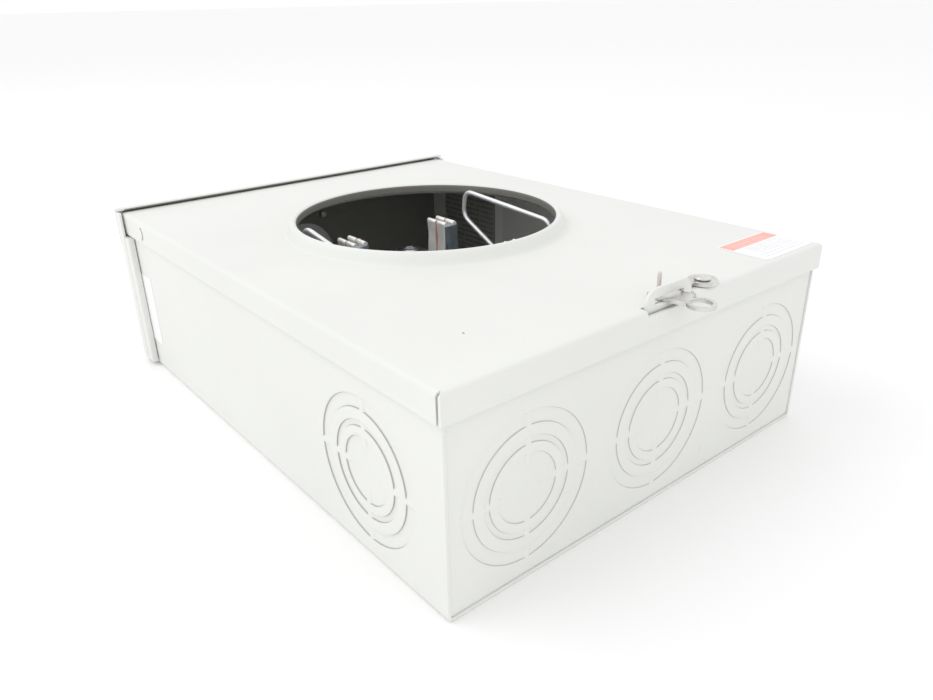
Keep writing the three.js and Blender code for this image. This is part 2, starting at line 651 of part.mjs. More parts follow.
// The eye of the latch reaches furthest towards -Y, and the hub screws' heads towards +Y.
const FRONT = LATCH_Y + LATCH_EYE.y - LATCH_EYE.radius;
const BACK = CAP_END + 2 * GAP + SHEET + 2.2;
enclosure.position.y = -(FRONT + BACK) / 2;

export default enclosure;
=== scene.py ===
import json
import math

import bmesh
import bpy
import numpy as np
from mathutils import Matrix, Vector


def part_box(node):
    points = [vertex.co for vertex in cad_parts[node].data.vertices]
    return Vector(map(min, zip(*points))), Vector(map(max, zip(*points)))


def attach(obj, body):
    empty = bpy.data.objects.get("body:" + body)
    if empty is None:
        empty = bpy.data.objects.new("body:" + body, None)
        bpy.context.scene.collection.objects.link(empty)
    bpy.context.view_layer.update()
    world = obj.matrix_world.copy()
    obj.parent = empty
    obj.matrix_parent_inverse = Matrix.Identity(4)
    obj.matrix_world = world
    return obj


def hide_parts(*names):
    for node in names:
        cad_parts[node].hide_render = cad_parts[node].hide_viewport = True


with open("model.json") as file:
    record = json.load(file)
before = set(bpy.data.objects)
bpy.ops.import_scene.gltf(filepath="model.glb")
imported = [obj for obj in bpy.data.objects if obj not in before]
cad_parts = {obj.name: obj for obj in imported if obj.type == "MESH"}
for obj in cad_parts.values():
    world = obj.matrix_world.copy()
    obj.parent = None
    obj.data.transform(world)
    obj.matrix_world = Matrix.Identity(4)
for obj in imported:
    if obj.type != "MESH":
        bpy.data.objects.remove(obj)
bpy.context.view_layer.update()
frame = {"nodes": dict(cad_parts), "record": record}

# ---------------------------------------------------------------- the stand: camera, floor and light
# The enclosure lies on its back on a white table. One big soft light hangs high behind its left
# side, and the room is white all round.
CAMERA_AT = (-0.28925, -0.37617, 0.24469)
CAMERA_RIGHT = (0.7699, -0.6379, -0.0185)
CAMERA_UP = (0.2782, 0.3094, 0.9093)
CAMERA_FORWARD = (0.5743, 0.7053, -0.4156)
FOCAL_LENGTH = 29.66

camera_data = bpy.data.cameras.new("camera")
camera_data.lens = FOCAL_LENGTH
camera_data.sensor_width = 36
camera_data.clip_start = 0.01
camera = bpy.data.objects.new("camera", camera_data)
bpy.context.scene.collection.objects.link(camera)
turn = Matrix((CAMERA_RIGHT, CAMERA_UP, tuple(-v for v in CAMERA_FORWARD))).transposed()
camera.rotation_mode = "QUATERNION"
camera.location = CAMERA_AT
camera.rotation_quaternion = turn.to_quaternion()
bpy.context.scene.camera = camera
bpy.context.scene.view_settings.view_transform = "Standard"


def operator(operation, swapped=False):
    """A Python operator that adds one maths node; swapped puts the other value first."""
    def apply(self, other):
        return self.maths(operation, other, self) if swapped else self.maths(operation, self, other)
    return apply


class Maths:
    """A value inside a material's node tree that can be added, multiplied and compared in Python."""

    def __init__(self, tree, socket):
        self.tree, self.socket = tree, socket

    def node(self, kind, settings=None, **inputs):
        """Adds a node, sets its properties, then its sockets, by name with _ for a space or by _number."""
        made = self.tree.nodes.new(kind)
        for name, value in (settings or {}).items():
            setattr(made, name, value)
        for name, value in inputs.items():
            key = int(name[1:]) if name[0] == "_" else name.replace("_", " ")
            socket = made.inputs[key]
            if isinstance(value, Maths):
                self.tree.links.new(value.socket, socket)
            elif isinstance(value, bpy.types.NodeSocket):
                self.tree.links.new(value, socket)
            else:
                socket.default_value = value
        return made

    def maths(self, operation, *values):
        """One maths node of the named operation, over one or two values."""
        made = self.node("ShaderNodeMath", {"operation": operation},
                         **{f"_{i}": value for i, value in enumerate(values)})
        return Maths(self.tree, made.outputs[0])

    __add__, __radd__ = operator("ADD"), operator("ADD", swapped=True)
    __sub__, __rsub__ = operator("SUBTRACT"), operator("SUBTRACT", swapped=True)
    __mul__, __rmul__ = operator("MULTIPLY"), operator("MULTIPLY", swapped=True)
    __truediv__ = operator("DIVIDE")
    __gt__, __lt__ = operator("GREATER_THAN"), operator("LESS_THAN")

    def __abs__(self):
        return self.maths("ABSOLUTE", self)

    def step(self, low, high):
        """0 below low, 1 above high, and an even slope between."""
        made = self.node("ShaderNodeMapRange", {"clamp": True}, Value=self, From_Min=low, From_Max=high)
        return Maths(self.tree, made.outputs[0])

    def noise(self, scale, detail=2.0, stretch=(1, 1, 1)):
        """Cloudy 0 to 1 values over the piece's own place in metres, about 0.5 on average."""
        place = self.node("ShaderNodeMapping", None, Vector=self, Scale=stretch)
        made = self.node("ShaderNodeTexNoise", None, Vector=place.outputs[0], Scale=scale, Detail=detail)
        return Maths(self.tree, made.outputs[0])

    def between(self, first, second):
        """A colour that goes from the first to the second as this value goes from 0 to 1."""
        made = self.node("ShaderNodeMix", {"data_type": "RGBA"}, _0=self, _6=first, _7=second)
        return Maths(self.tree, made.outputs[2])


def new_material(name, **constants):
    """A principled material: its shader, the piece's place, and its x, y and z as values in metres."""
    made = bpy.data.materials.new(name)
    made.use_nodes = True
    tree = made.node_tree
    shader = tree.nodes["Principled BSDF"]
    for key, value in constants.items():
        shader.inputs[key.replace("_", " ")].default_value = value
    place = Maths(tree, tree.nodes.new("ShaderNodeTexCoord").outputs["Object"])
    split = place.node("ShaderNodeSeparateXYZ", None, Vector=place)
    return made, shader, place, [Maths(tree, out) for out in split.outputs]


def feed(shader, socket, value):
    """The value drives one of the shader's sockets."""
    value.tree.links.new(value.socket, shader.inputs[socket])


def bump(shader, height, distance, strength=1.0):
    """The value raises the surface by up to the distance, in metres, in its shading only."""
    made = height.node("ShaderNodeBump", None, Height=height, Distance=distance, Strength=strength)
    height.tree.links.new(made.outputs[0], shader.inputs["Normal"])


FLOOR_HALF = 40.0
FLOOR_DROP = 0.0002       # keeps the floor clear of the pan's back
floor_mesh = bpy.data.meshes.new("floor")
floor_mesh.from_pydata([(x * FLOOR_HALF, y * FLOOR_HALF, 0) for x, y in ((-1, -1), (1, -1), (1, 1), (-1, 1))],
                       [], [(0, 1, 2, 3)])
floor = bpy.data.objects.new("floor", floor_mesh)
floor.location.z = -FLOOR_DROP
bpy.context.scene.collection.objects.link(floor)
table_white, *_ = new_material("table_white", Base_Color=(0.95, 0.95, 0.95, 1), Roughness=0.9)
floor_mesh.materials.append(table_white)

world = bpy.data.worlds.new("white_room")
bpy.context.scene.world = world
world.use_nodes = True
world.node_tree.nodes["Background"].inputs[0].default_value = (1, 1, 1, 1)
world.node_tree.nodes["Background"].inputs[1].default_value = 1.0


def soft_light(name, place, size, watts, aim=(0, 0, 0.06)):
    """A square light with soft edges that faces the middle of the enclosure."""
    data = bpy.data.lights.new(name, "AREA")
    data.shape, data.size, data.energy = "SQUARE", size, watts
    light = bpy.data.objects.new(name, data)
    bpy.context.scene.collection.objects.link(light)
    light.location = place
    direction = light.location - Vector(aim)
    light.rotation_mode = "QUATERNION"
    light.rotation_quaternion = direction.to_track_quat("Z", "Y")


soft_light("high_left", (-1.3, 0.8, 1.9), 1.5, 11)

# ---------------------------------------------------------------- cover
# A shallow tray pressed from 1.5 mm steel: a flat top with a rolled collar round the meter opening,
# and edges folded down on three sides; the fourth is left flat and goes under the top end's lip.
# It is powder coated light grey like the other sheet parts; its underside is darkened to mid grey as painted
# shade.
MM = 0.001
SHEET = 1.5
FOLD = 2.3                # outside radius of a folded edge
cover_low, cover_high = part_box("cover")
FRONT = cover_low.y / MM  # the fold-down on the latch side, from which lengths are counted here
COVER_HALF = cover_high.x / MM
COVER_LONG = (cover_high.y - cover_low.y) / MM
COVER_TOP = 113.0
EDGE_FOOT = cover_low.z / MM
OPENING = (0.0, 193.0)
OPENING_R = 82.5
COLLAR_R = 91.0
COLLAR_TOP = 120.3
WALL_FOOT, WALL_TOP = 115.0, 118.0  # the collar's upright inner wall
ROLL = (2.5, 2.3)         # half width and height of its rolled crest
FLAT_RIM = 3.1            # strip of the flat top just inside a fold
FOLD_FOOT = 110.2         # the first line of points below a fold
FRONT_REACH = 2.1         # the front fold runs out this far at both ends, to meet the side folds
SIDE_SHORT = 0.4          # and the side folds stop short of it by this
TAB_ROOM = 18.4           # half the width of the slot that the hasp tab comes through
LANCE_Y, LANCE_Z, LANCE_R = 327.0, 105.5, 5.0  # a lanced bump on the left flange
LANCE_RISE = 0.9
SPECK = (-97.0, 38.0)     # a speck of grit on the flat top
STRAIGHT_ROWS, FOLD_ROWS = 8, 6
TONE = (0.797, 0.807, 0.78)


# under is the colour that the marks go to: the colour under the coat, and the dark of painted shade
def paint(name, tone, marks_and_shade=None, inside=False, under=(0.16, 0.155, 0.14, 1)):
    """Powder coat: fine orange peel, faint cloudy tone changes, and a little dust where it was handled.
    marks_and_shade(x, y, z), in metres, gives where the colour goes to the under colour: dents and specks,
    which have the colour under the coat, sheared edges, whose dark is partly bare metal and partly painted
    shade, and painted shade on inner walls."""
    made, shader, place, (x, y, z) = new_material(name, Specular_IOR_Level=0.35)
    clouds = place.noise(9, 3)
    dust = place.noise(70, 4).step(0.52, 0.75) * clouds.step(0.4, 0.7)
    dark = tuple(v * 0.975 for v in tone) + (1,)
    light = tuple(min(1.0, v * 1.012) for v in tone) + (1,)
    colour = clouds.step(0.3, 0.7).between(dark, light)
    colour = (dust * 0.12).between(colour, (0.9, 0.9, 0.89, 1))
    if marks_and_shade:
        colour = marks_and_shade(x, y, z).between(colour, under)
    feed(shader, "Base Color", colour)
    feed(shader, "Roughness", clouds * 0.1 + dust * 0.12 + (0.55 if inside else 0.42))
    bump(shader, place.noise(900, 2) * 0.4 + place.noise(120, 1), 0.00005, 0.5)
    return made


def collar_shade(x, y, z):
    """Painted shade on the turned-down inner wall of the collar, a painted shade arc where the lance's shear
    would show, and a speck of grit.
    """
    across, along = x, y - (FRONT + OPENING[1]) * MM
    radius = across.maths("SQRT", across * across + along * along)
    wall = (radius < (OPENING_R + 0.45) * MM) * (z > 0.110)
    shade = (1 - z.step(0.1192, 0.1202)) * wall * 0.95
    dx, dy = x - SPECK[0] * MM, y - (FRONT + SPECK[1]) * MM
    speck = dx * dx + dy * dy * 0.3 < (0.45 * MM) ** 2
    up, back = z / MM - LANCE_Z, y / MM - (FRONT + LANCE_Y)
    reach = up.maths("SQRT", up * up + back * back)
    # the lance's shear is not cut in the sheet: a thin arc of painted shade stands for its shaded gap
    sheared = (abs(reach - LANCE_R * 0.85) < 0.45) * (back < -1.2) * (x < -COVER_HALF * MM * 0.98) * 0.75
    return shade.maths("MAXIMUM", shade, speck.maths("MAXIMUM", speck, sheared))


# the cover's paint carries painted shade on the collar's inner wall and at the lance
COVER_PAINT = paint("cover_powder_coat", TONE, collar_shade)
# the cover's underside is the same light grey paint; this mid grey is painted shade
UNDERSIDE_SHADE_COAT = paint("inside_coat_painted_shade", (0.42, 0.425, 0.41), inside=True)


def quads(grid, skip=None):
    """Faces over a grid of points in rows and columns: each joins two rows and two columns. Faces
    whose place in skip is true are left out. Returns the points and the faces as arrays."""
    rows, columns = grid.shape[:2]
    number = np.arange(rows * columns).reshape(rows, columns)
    faces = np.stack([number[:-1, :-1], number[:-1, 1:], number[1:, 1:], number[1:, :-1]], -1)
    if skip is not None:
        faces = faces[~skip]
    return grid.reshape(-1, 3), faces.reshape(-1, 4)


def new_piece(name, patches, looks, middle=None, thickness=None, sharp=32, width=None):
    """One object from grids of points in mm. Points that coincide are merged, faces are turned away
    from the middle, a sheet gets its thickness inwards (second look inside), edges get a small bevel
    of the given width, and edges sharper than the angle stay crisp."""
    points, faces, count = [], [], 0
    for patch in patches:
        grid, skip = patch if isinstance(patch, tuple) else (patch, None)
        found, made = quads(np.asarray(grid, float), skip)
        points.append(found)
        faces.append(made + count)
        count += len(found)
    points = np.concatenate(points) * MM
    faces = np.concatenate(faces)
    mesh = bpy.data.meshes.new(name)
    mesh.from_pydata(points.tolist(), [], faces.tolist())
    for look in looks:
        mesh.materials.append(look)
    work = bmesh.new()
    work.from_mesh(mesh)
    bmesh.ops.remove_doubles(work, verts=work.verts, dist=2e-6)
    bmesh.ops.dissolve_degenerate(work, edges=work.edges, dist=1e-7)
    bmesh.ops.recalc_face_normals(work, faces=work.faces)
    if middle is not None:
        heart = Vector(middle) * MM
        outward = sum(face.calc_area() * face.normal.dot(face.calc_center_median() - heart)
                      for face in work.faces)
        if outward < 0:
            bmesh.ops.reverse_faces(work, faces=work.faces)
    work.to_mesh(mesh)
    work.free()
    piece = bpy.data.objects.new(name, mesh)
    bpy.context.scene.collection.objects.link(piece)
    if thickness:
        wall = piece.modifiers.new("wall", "SOLIDIFY")
        wall.thickness, wall.offset, wall.use_even_offset = thickness * MM, -1, True
        wall.material_offset = len(looks) - 1
    if width:
        edge = piece.modifiers.new("edge", "BEVEL")
        edge.width, edge.segments, edge.limit_method = width * MM, 2, "ANGLE"
        edge.angle_limit = math.radians(50)
    if thickness or width:
        evaluated = piece.evaluated_get(bpy.context.evaluated_depsgraph_get())
        piece.data = bpy.data.meshes.new_from_object(evaluated)
        piece.modifiers.clear()
        piece.data.name = name
    piece.data.shade_smooth()
    piece.data.set_sharp_from_angle(angle=math.radians(sharp))
    return piece


def settle(piece, body, slot, *nodes):
    """The piece moves with a body and stands for CAD nodes, which are hidden; the slot is not used."""
    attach(piece, body)
    if nodes:
        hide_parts(*nodes)
    return piece


def spaced(*stops):
    """Values from stop to stop, given as value, count, value, count, value and so on."""
    values = [np.linspace(stops[i], stops[i + 2], stops[i + 1], endpoint=False)
              for i in range(0, len(stops) - 2, 2)]
    return np.append(np.concatenate(values), stops[-1])


def collar_profile():
    """(radius, height) of the collar's outer skin: up the inner wall, a quarter ellipse over the
    crest, then half a cosine wave down to the flat top."""
    crest = OPENING_R + ROLL[0]
    wall = np.stack([np.full(3, OPENING_R), np.array([WALL_FOOT, 116.6, WALL_TOP])], -1)
    arc = np.linspace(np.pi, np.pi / 2, 9)[1:]
    roll = np.stack([crest + ROLL[0] * np.cos(arc), WALL_TOP + ROLL[1] * np.sin(arc)], -1)
    out = np.linspace(crest, COLLAR_R, 15)[1:]
    wave = 0.5 + 0.5 * np.cos(np.pi * (out - crest) / (COLLAR_R - crest))
    slope = COVER_TOP + (COLLAR_TOP - COVER_TOP) * wave
    return np.concatenate([wall, roll, np.stack([out, slope], -1), [[COLLAR_R + 1.5, COVER_TOP]]])


def cover_sector(side, along):
    """One quarter of the cover, from the opening to one side. The first rows are the collar's profile
    turned about the opening, then straight lines run from its foot to a rectangle just inside the
    edge, to the fold, round the fold and down. Columns are the places given along that side."""
    half, start, end = COVER_HALF - FOLD, FOLD, COVER_LONG
    low, high = (-half, half) if side in ("front", "rear") else (start, end)
    share = (along - (low + high) / 2) / ((high - low) / 2)
    inset = FLAT_RIM * share ** 3
    edge = {"front": lambda a, d: (a, start + d), "rear": lambda a, d: (a, end - d),
            "left": lambda a, d: (-half + d, a), "right": lambda a, d: (half - d, a)}[side]
    fold_x, fold_y = np.broadcast_arrays(*edge(along, 0.0))
    in_x, in_y = np.broadcast_arrays(*edge(along - inset, FLAT_RIM))
    angle = np.arctan2(in_y - OPENING[1], in_x - OPENING[0])
    profile = collar_profile()
    rows = [np.stack([OPENING[0] + r * np.cos(angle), OPENING[1] + r * np.sin(angle),
                      np.full_like(angle, z)], -1) for r, z in profile]
    foot = rows[-1]
    inner = np.stack([in_x, in_y, np.full_like(angle, COVER_TOP)], -1)
    rows += [foot + (inner - foot) * t for t in np.linspace(0, 1, STRAIGHT_ROWS + 1)[1:]]
    fold = np.stack([fold_x, fold_y, np.full_like(angle, COVER_TOP)], -1)
    rows.append(fold)
    if side == "rear":
        return np.array(rows), None
    out = {"front": (0, -1, 0), "left": (-1, 0, 0), "right": (1, 0, 0)}[side]
    reach = FRONT_REACH if side == "front" else -SIDE_SHORT
    ends = np.zeros_like(along)
    ends[0], ends[-1] = -reach, reach if side == "front" else 0.0
    way = np.array((1, 0, 0) if side == "front" else (0, 1, 0), float)
    lance = np.zeros_like(along)
    for turned in np.linspace(0, np.pi / 2, FOLD_ROWS + 1)[1:]:
        drop = FOLD * (1 - np.cos(turned))
        row = fold + np.array(out) * FOLD * np.sin(turned) - np.array((0, 0, 1)) * drop
        rows.append(row + np.outer(ends * np.sin(turned), way))
    for z in spaced(FOLD_FOOT, 14, EDGE_FOOT):
        row = fold + np.array(out) * FOLD + np.outer(ends, way)
        row[:, 2] = z
        if side == "left":
            # a small lanced bump: a shallow dome, whose shear along the side nearer the latch is left uncut
            # and painted as a dark arc of shade
            rise = 1 - ((along - LANCE_Y) ** 2 + (z - LANCE_Z) ** 2) / LANCE_R ** 2
            lance = LANCE_RISE * np.sqrt(np.clip(rise, 0, 1))
        rows.append(row + np.outer(lance, np.array(out)))
    rows = np.array(rows)
    skip = None
    if side == "front":
        # the slot for the hasp tab, through the edge of the top and the fold
        first = len(profile) + STRAIGHT_ROWS - 1
        skip = np.zeros((rows.shape[0] - 1, len(along) - 1), bool)
        skip[first:first + FOLD_ROWS + 2, :] = np.abs((along[1:] + along[:-1]) / 2) < TAB_ROOM
    return rows, skip


edge_x = COVER_HALF - FOLD
front_along = spaced(-edge_x, 42, -TAB_ROOM, 14, TAB_ROOM, 42, edge_x)
side_along = spaced(FOLD, 86, 321, 30, 338, 8, COVER_LONG)
rear_along = spaced(-edge_x, 98, edge_x)
sectors = [cover_sector("front", front_along), cover_sector("left", side_along),
           cover_sector("right", side_along), cover_sector("rear", rear_along)]


def placed(grid):
    """The same points counted from the middle of the enclosure instead of the cover's front fold."""
    return np.asarray(grid) + np.array((0, FRONT, 0))


cover = new_piece("cover_tray", [(placed(rows), skip) for rows, skip in sectors],
                  [COVER_PAINT, UNDERSIDE_SHADE_COAT], middle=(0, FRONT + 180, 60), thickness=SHEET)
settle(cover, "cover", "paint", "cover")

# ---------------------------------------------------------------- back pan
# The back and both side walls are one folded sheet. Each side wall has a set of half-sheared
# knockout rings near the latch end, and the back has four holes for wall screws.
pan_low, pan_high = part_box("back_pan")
PAN_HALF = pan_high.x / MM
PAN_START = pan_low.y / MM - FRONT
PAN_END = pan_high.y / MM - FRONT
PAN_TOP = pan_high.z / MM
RING_RADII = (38.1, 31.4, 25.4, 22.3, 17.5)
RING_STEP = 0.55          # how far a half-sheared ring stands back on the end wall
SIDE_STEP = 0.75          # and on the side walls
RING_TIE = 1.9            # half the width of the uncut metal that holds a ring
RING_Z = 48.5
SIDE_RING_Y = 61.0
WALL_SCREWS = ((-100, 45), (100, 45), (-100, 325), (100, 325))
WALL_SCREW_R = 4.2
BACK_FOLD = 2.3
# across one sheared step, from outside in: how far from its radius, and the share of the step
STEP_SHAPE = ((0.35, 0.0), (0.12, 0.06), (0.04, 0.5), (-0.04, 0.5), (-0.12, 0.94), (-0.35, 1.0))


def round_cell(u_side, v_side, centre, step=0.0, rings=None, hole=None):
    """A flat rectangle as one grid of (u, v, depth): straight lines run from its rim, sampled at the
    given places, to a circle. Inside it are either a hole, or rings that step back and forth by the
    ring depth at each radius, with the step faded out near four ties, down to the middle."""
    u, v = np.asarray(u_side, float), np.asarray(v_side, float)
    rim = np.concatenate([np.stack([u, np.full_like(u, v[0])], -1)[:-1],
                          np.stack([np.full_like(v, u[-1]), v], -1)[:-1],
                          np.stack([u[::-1], np.full_like(u, v[-1])], -1)[:-1],
                          np.stack([np.full_like(v, u[0]), v[::-1]], -1)])
    angle = np.arctan2(rim[:, 1] - centre[1], rim[:, 0] - centre[0])
    way = np.stack([np.cos(angle), np.sin(angle)], -1)
    outer = hole if hole else rings[0] + 2.5
    circle = np.array(centre) + outer * way
    rows = [np.append(rim + (circle - rim) * t, np.zeros((len(rim), 1)), 1) for t in np.linspace(0, 1, 9)]
    if hole:
        return np.array(rows)
    depth = 0.0
    for i, radius in enumerate(rings):
        tie = radius * np.minimum(np.abs(np.sin(angle)), np.abs(np.cos(angle)))
        free = np.clip((tie - RING_TIE) / 1.0 + 0.5, 0, 1)
        after = step if i % 2 == 0 else 0.0
        inner = rings[i + 1] if i + 1 < len(rings) else 0.0
        for apart, share in STEP_SHAPE:
            level = (depth + (after - depth) * share) * free
            rows.append(np.append(np.array(centre) + (radius + apart) * way, level[:, None], 1))
        if inner:
            band = (radius + inner) / 2
            ease = np.clip((tie - RING_TIE) / 2.5 + 0.5, 0, 1)
            rows.append(np.append(np.array(centre) + band * way, (after * ease)[:, None], 1))
        depth = after
    for r in (9.0, 3.0, 0.0):
        rows.append(np.append(np.array(centre) + r * way, np.full((len(angle), 1), depth), 1))
    return np.array(rows)


# columns of points along the pan: beside the knockout, on to the middle, and on to the top end
RING_COLUMNS, NEAR_COLUMNS, FAR_COLUMNS = 64, 20, 40
RING_CELL_END, MIDDLE_Y = 122.0, 183
pan_y = spaced(PAN_START, RING_COLUMNS, RING_CELL_END, NEAR_COLUMNS, MIDDLE_Y, FAR_COLUMNS, PAN_END)
ring_y, rest_y = pan_y[:RING_COLUMNS + 1], pan_y[RING_COLUMNS:]
halfway = RING_COLUMNS + NEAR_COLUMNS
wall_z = spaced(BACK_FOLD, 56, PAN_TOP)
pan_patches = []
for side in (-1, 1):
    cell = round_cell(ring_y, wall_z, (SIDE_RING_Y, RING_Z), SIDE_STEP, rings=RING_RADII)
    pan_patches.append(np.stack([side * (PAN_HALF - cell[..., 2]), cell[..., 0], cell[..., 1]], -1))
    y, z = np.meshgrid(rest_y, wall_z, indexing="ij")
    pan_patches.append(np.stack([np.full_like(y, side * PAN_HALF), y, z], -1))
    turned, y = np.meshgrid(np.linspace(0, np.pi / 2, 7), pan_y, indexing="ij")
    pan_patches.append(np.stack([side * (PAN_HALF - BACK_FOLD + BACK_FOLD * np.cos(turned)), y,
                                 BACK_FOLD - BACK_FOLD * np.sin(turned)], -1))
    inner_x = side * (PAN_HALF - BACK_FOLD)
    for part_y, hole in ((pan_y[:halfway + 1], 0), (pan_y[halfway:], 2)):
        place = WALL_SCREWS[hole + (side > 0)]
        pan_patches.append(round_cell(spaced(0, 24, inner_x), part_y, place, hole=WALL_SCREW_R))


def ring_lines(across, up, depth, step):
    """1 on the sheared steps of a set of rings: close to a ring's radius and between its two levels.
    The values are millimetres from the centre of the set, and back from the wall's face."""
    radius = across.maths("SQRT", across * across + up * up)
    near = abs(radius - RING_RADII[0]) < 0.22
    for ring in RING_RADII[1:]:
        near = near + (abs(radius - ring) < 0.22)
    return near * (depth > 0.05) * (depth < step - 0.02)


def side_marks(x, y, z):
    """Knockout shear lines on both side walls: partly bare sheared metal, partly painted shade on the steps.
    """
    along = y / MM - (FRONT + SIDE_RING_Y)
    return ring_lines(along, z / MM - RING_Z, PAN_HALF - abs(x) / MM, SIDE_STEP)


# on the knockout steps the coat goes to the under colour: partly bare metal, partly painted shade
PAN_PAINT = paint("pan_powder_coat", TONE, side_marks, under=(0.5, 0.49, 0.465, 1))
INSIDE_GREY = paint("inside_coat_grey", (0.8, 0.81, 0.78), inside=True)
pan = new_piece("back_pan_shell", [placed(p) for p in pan_patches], [PAN_PAINT, INSIDE_GREY],
                middle=(0, FRONT + 180, 60), thickness=SHEET)
settle(pan, "enclosure", "paint", "back_pan")

# ---------------------------------------------------------------- bottom end wall
# A separate folded sheet set a little inside the pan's walls, with three sets of knockout rings. The
# slotted hasp tab stands up from its top edge, through the cover.
END_Y = 2.6
RING_PITCH = 91.0
_, end_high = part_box("bottom_end_wall")
END_GAP = 0.06            # it nearly touches the pan
END_HALF = PAN_HALF - SHEET - END_GAP
END_FLOOR = SHEET + END_GAP
END_TOP = 109.0
TAB_TOP = end_high.z / MM
TAB_HALF = 17.2
TAB_SLOT = (-11.0, 11.0, 113.0, 116.9)
END_FOLD = 0.8
END_RIM = 14.0
DENT = (42.0, 14.0)
SCRATCH = (-42.0, 27.0)


def rounded_rectangle(left, right, low, high, radius, count):
    """count points round a rectangle whose corners are quarter circles, evenly spaced by length."""
    quarter = np.linspace(0, np.pi / 2, 7)
    centres = ((right - radius, high - radius, 0), (left + radius, high - radius, 1),
               (left + radius, low + radius, 2), (right - radius, low + radius, 3))
    path = np.concatenate([np.stack([cx + radius * np.cos(quarter + k * np.pi / 2),
                                     cy + radius * np.sin(quarter + k * np.pi / 2)], -1)
                           for cx, cy, k in centres])
    path = np.append(path, path[:1], 0)
    length = np.append(0, np.cumsum(np.linalg.norm(np.diff(path, axis=0), axis=1)))
    even = np.linspace(0, length[-1], count + 1)
    return np.stack([np.interp(even, length, path[:, 0]), np.interp(even, length, path[:, 1])], -1)


wall_x = (-END_HALF + END_FOLD, -RING_PITCH / 2, RING_PITCH / 2, END_HALF - END_FOLD)
end_z = spaced(END_FLOOR + END_FOLD, 60, END_TOP)
end_patches = []
all_x = []
for i in range(3):
    xs = spaced(wall_x[i], 60, wall_x[i + 1])
    all_x.append(xs if i == 2 else xs[:-1])
    cell = round_cell(xs, end_z, ((i - 1) * RING_PITCH, RING_Z), RING_STEP, rings=RING_RADII)
    end_patches.append(np.stack([cell[..., 0], END_Y + cell[..., 2], cell[..., 1]], -1))
turned = np.linspace(0, np.pi / 2, 6)
for side in (-1, 1):
    bend = np.stack([side * (END_HALF - END_FOLD + END_FOLD * np.sin(turned)),
                     END_Y + END_FOLD - END_FOLD * np.cos(turned)], -1)
    bend = np.append(bend, [[side * END_HALF, END_Y + END_RIM]], 0)
    end_patches.append(np.stack([np.repeat(bend[:, :1], len(end_z), 1),
                                 np.repeat(bend[:, 1:], len(end_z), 1),
                                 np.repeat(end_z[None], len(bend), 0)], -1))
foot = np.stack([END_Y + END_FOLD - END_FOLD * np.cos(turned),
                 END_FLOOR + END_FOLD - END_FOLD * np.sin(turned)], -1)
foot = np.append(foot, [[END_Y + END_RIM, END_FLOOR]], 0)
foot_x = np.concatenate(all_x)
end_patches.append(np.stack([np.repeat(foot_x[None], len(foot), 0), np.repeat(foot[:, :1], len(foot_x), 1),
                             np.repeat(foot[:, 1:], len(foot_x), 1)], -1))


def end_marks(x, y, z):
    """Knockout shear lines of the three sets, partly bare sheared metal and partly painted shade, a short
    dent and a scratch.
    """
    across, up, depth = x / MM, z / MM, y / MM - (FRONT + END_Y)
    folded = across.maths("MODULO", across + RING_PITCH * 2.5, RING_PITCH) - RING_PITCH / 2
    lines = ring_lines(folded, up - RING_Z, depth, RING_STEP)
    bend = (up - DENT[1]) * (up - DENT[1])
    dent = (abs(across - DENT[0] - bend * 0.06) < 0.28) * (bend < 12) * 0.45
    slant = (up - SCRATCH[1]) * 1.2
    scratch = (abs(across - SCRATCH[0] - slant) < 0.3) * (abs(up - SCRATCH[1]) < 2.5) * 0.2
    return lines.maths("MAXIMUM", lines, dent.maths("MAXIMUM", dent, scratch))


# on the knockout steps the coat goes to the under colour: partly bare metal, partly painted shade
END_PAINT = paint("end_powder_coat", TONE, end_marks, under=(0.6, 0.575, 0.53, 1))
end_wall = new_piece("end_wall_sheet", [placed(p) for p in end_patches], [END_PAINT, INSIDE_GREY],
                     middle=(0, FRONT + 180, 60), thickness=SHEET)
settle(end_wall, "enclosure", "paint", "bottom_end_wall")

# the hasp tab: a flat ring of sheet round its slot
TAB_FOOT, TAB_CORNER, SLOT_CORNER = 101, 7, 0.7
tab_outer = rounded_rectangle(-TAB_HALF, TAB_HALF, TAB_FOOT, TAB_TOP, TAB_CORNER, 96)
tab_inner = rounded_rectangle(*TAB_SLOT, SLOT_CORNER, 96)
tab = np.stack([tab_outer + (tab_inner - tab_outer) * t for t in np.linspace(0, 1, 4)])
tab = np.stack([tab[..., 0], np.full(tab.shape[:2], END_Y), tab[..., 1]], -1)
tab_piece = new_piece("hasp_tab", [placed(tab)], [END_PAINT], middle=(0, FRONT + 100, 60),
                      thickness=SHEET, width=0.25)
settle(tab_piece, "enclosure", "paint")

# ---------------------------------------------------------------- top end cap, hub plate and its screws
# The top end is a folded sheet whose hood laps over the pan's walls and whose lip holds the cover's
# edge. A closing plate with rounded corners is screwed over its hub opening with four pan heads.
cap_low, cap_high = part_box("top_end_cap")
CAP_END, CAP_HALF, CAP_TOP = cap_high.y / MM - FRONT, cap_high.x / MM, cap_high.z / MM
HOOD_START = cap_low.y / MM - FRONT
SKIN = 0.7                # the shade stays this far below the hood's outer faces
SHADE_FOOT = 2.8


def hood_painted_shade(x, y, z):
    """Painted shade, 0.85, on the inner side of the hood, whose coat is the same light grey, and 0 elsewhere.
    """
    inside = (y < (FRONT + CAP_END - SKIN) * MM) * (abs(x) < PAN_HALF * MM)
    return inside * (z < (CAP_TOP - SKIN) * MM) * (z > SHADE_FOOT * MM) * 0.85


# the cap's paint is darkened inside the hood as painted shade
CAP_PAINT = paint("cap_powder_coat", TONE, hood_painted_shade)


